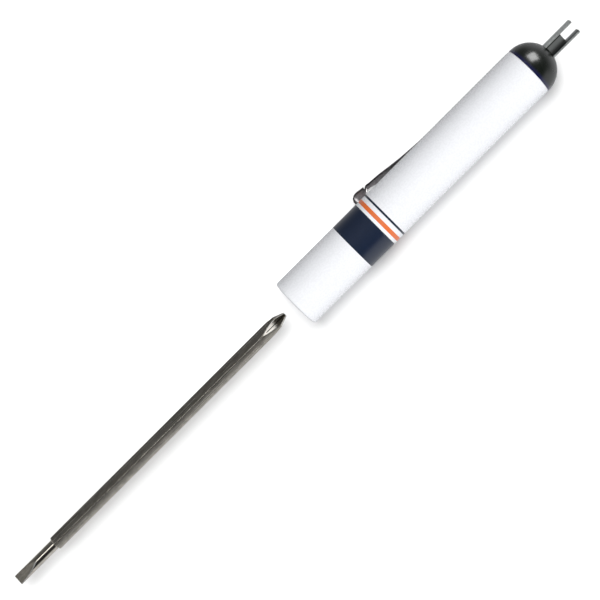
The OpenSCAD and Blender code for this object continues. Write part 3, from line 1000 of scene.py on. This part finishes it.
def table_top(looks):
    """A wide pale table under the handle."""
    half = 6.0
    corners = [(-half, -half, 0), (half, -half, 0), (half, half, 0), (-half, half, 0)]
    mesh = bpy.data.meshes.new("table")
    mesh.from_pydata(corners, [], [(0, 1, 2, 3)])
    table = add_piece("table", mesh)
    shader = Shader("pale_table", Roughness=0.9, Specular_IOR_Level=0.1)
    cloud = shader.noise((0.01, 0.01, 0.01))
    shader.set(Base_Color=shader.tones(cloud, looks.table, 0.995, 1.005))
    mesh.materials.append(shader.material)
    table.visible_diffuse = False
    table.visible_glossy = False
    table.visible_shadow = False
    return table


def place_camera(looks):
    """A camera that looks down on the handle, a little towards the blade, with the handle's axis
    rising to the right of the picture."""
    data = bpy.data.cameras.new("camera")
    camera = bpy.data.objects.new("camera", data)
    tilt = looks.camera_tilt
    gaze = Vector((-math.sin(tilt), 0, -math.cos(tilt)))
    turned = math.radians(PICTURE_TURN)
    up = Vector((math.sin(turned), math.cos(turned), 0))
    right = gaze.cross(up).normalized()
    up = right.cross(gaze)
    aim = Vector((AIM_X, AIM_Y, AXIS_Z)) * MM
    camera.location = aim - gaze * looks.camera_height * MM
    camera.rotation_mode = "QUATERNION"
    camera.rotation_quaternion = Matrix((right, up, -gaze)).transposed().to_quaternion()
    data.sensor_width = SENSOR_MM
    data.lens = looks.camera_height * looks.pixels_per_mm / FRAME_PIXELS * SENSOR_MM
    data.shift_x = FRAME_SHIFT
    data.shift_y = FRAME_SHIFT
    data.clip_start, data.clip_end = 0.01, 50
    bpy.context.scene.collection.objects.link(camera)
    bpy.context.scene.camera = camera


class SCREWDRIVER_OT_stage(bpy.types.Operator):
    """Set the table, the lights and the camera"""

    bl_idname = "screwdriver.stage"
    bl_label = "Stage"

    def execute(self, context):
        looks = context.scene.stage_looks
        pieces = [piece for piece in context.scene.objects if piece.type == "MESH"]
        blade, clip, fork = (
            [piece for piece in pieces if piece.name.startswith(name)]
            for name in ("blade_bar", "clip_strip", "fork_sheet")
        )
        handle = [piece for piece in pieces if piece not in blade]
        casting = [piece for piece in pieces if piece not in fork]
        table = table_top(looks)
        on_table = group_of("lit_table", [table])
        on_handle = group_of("lit_handle", handle)
        on_tool = group_of("lit_tool", pieces)
        on_blade = group_of("lit_blade", blade)
        on_clip = group_of("lit_clip", clip)
        on_fork = group_of("lit_fork", fork)
        blockers = group_of("shade_table", casting)
        no_blockers = group_of("shade_nothing", [table])
        handle_only = group_of("shade_handle", [piece for piece in casting if piece in handle])
        sun("table_light", *TABLE_SUN, looks.table_light, on_table, blockers)
        sun("handle_light", *TABLE_SUN, looks.handle_light, on_table, handle_only)
        sun("table_fill", *FILL_SUN, looks.table_fill, on_table, no_blockers)
        sun("top_light", *TOP_SUN, looks.top_light, on_tool)
        softbox("key_box", *KEY_BOX, looks.key_light, on_handle)
        softbox("line_box", *LINE_BOX, looks.line_light, on_blade)
        softbox("point_box", *POINT_BOX, looks.point_light, on_blade)
        softbox("tip_box", *TIP_BOX, looks.tip_light, on_blade)
        softbox("clip_box", *CLIP_BOX, looks.clip_light, on_clip)
        softbox("fork_box", *FORK_BOX, looks.fork_light, on_fork)
        studio_sky(looks)
        context.scene.view_settings.view_transform = "Standard"
        place_camera(looks)
        return {"FINISHED"}


class SCREWDRIVER_PT_panel(bpy.types.Panel):
    """Pocket screwdriver"""

    bl_idname = "SCREWDRIVER_PT_panel"
    bl_label = "Pocket screwdriver"
    bl_space_type = "VIEW_3D"
    bl_region_type = "UI"
    bl_category = "Screwdriver"

    def draw(self, context):
        for name, _, operator in STEPS:
            box = self.layout.box()
            box.operator(operator.bl_idname)
            looks = getattr(context.scene, name)
            for key in looks.bl_rna.properties.keys():
                if key not in ("rna_type", "name"):
                    box.prop(looks, key)


# Each step's settings in the scene, their group and the operator that uses them
STEPS = [
    ("barrel_looks", BarrelLooks, SCREWDRIVER_OT_barrel),
    ("cap_looks", CapLooks, SCREWDRIVER_OT_cap),
    ("blade_looks", BladeLooks, SCREWDRIVER_OT_blade),
    ("clip_looks", ClipLooks, SCREWDRIVER_OT_clip),
    ("fork_looks", ForkLooks, SCREWDRIVER_OT_fork),
    ("stage_looks", StageLooks, SCREWDRIVER_OT_stage),
]


def register():
    """Adds the settings, the operators and the panel."""
    for name, group, operator in STEPS:
        bpy.utils.register_class(group)
        setattr(bpy.types.Scene, name, PointerProperty(type=group))
        bpy.utils.register_class(operator)
    bpy.utils.register_class(SCREWDRIVER_PT_panel)


def unregister():
    """Takes the panel, the operators and the settings away."""
    bpy.utils.unregister_class(SCREWDRIVER_PT_panel)
    for name, group, operator in reversed(STEPS):
        bpy.utils.unregister_class(operator)
        delattr(bpy.types.Scene, name)
        bpy.utils.unregister_class(group)


def main():
    """Makes every piece in order."""
    register()
    bpy.ops.screwdriver.barrel()
    bpy.ops.screwdriver.cap()
    bpy.ops.screwdriver.blade()
    bpy.ops.screwdriver.clip()
    bpy.ops.screwdriver.fork()
    bpy.ops.screwdriver.stage()


if __name__ == "__main__":
    main()
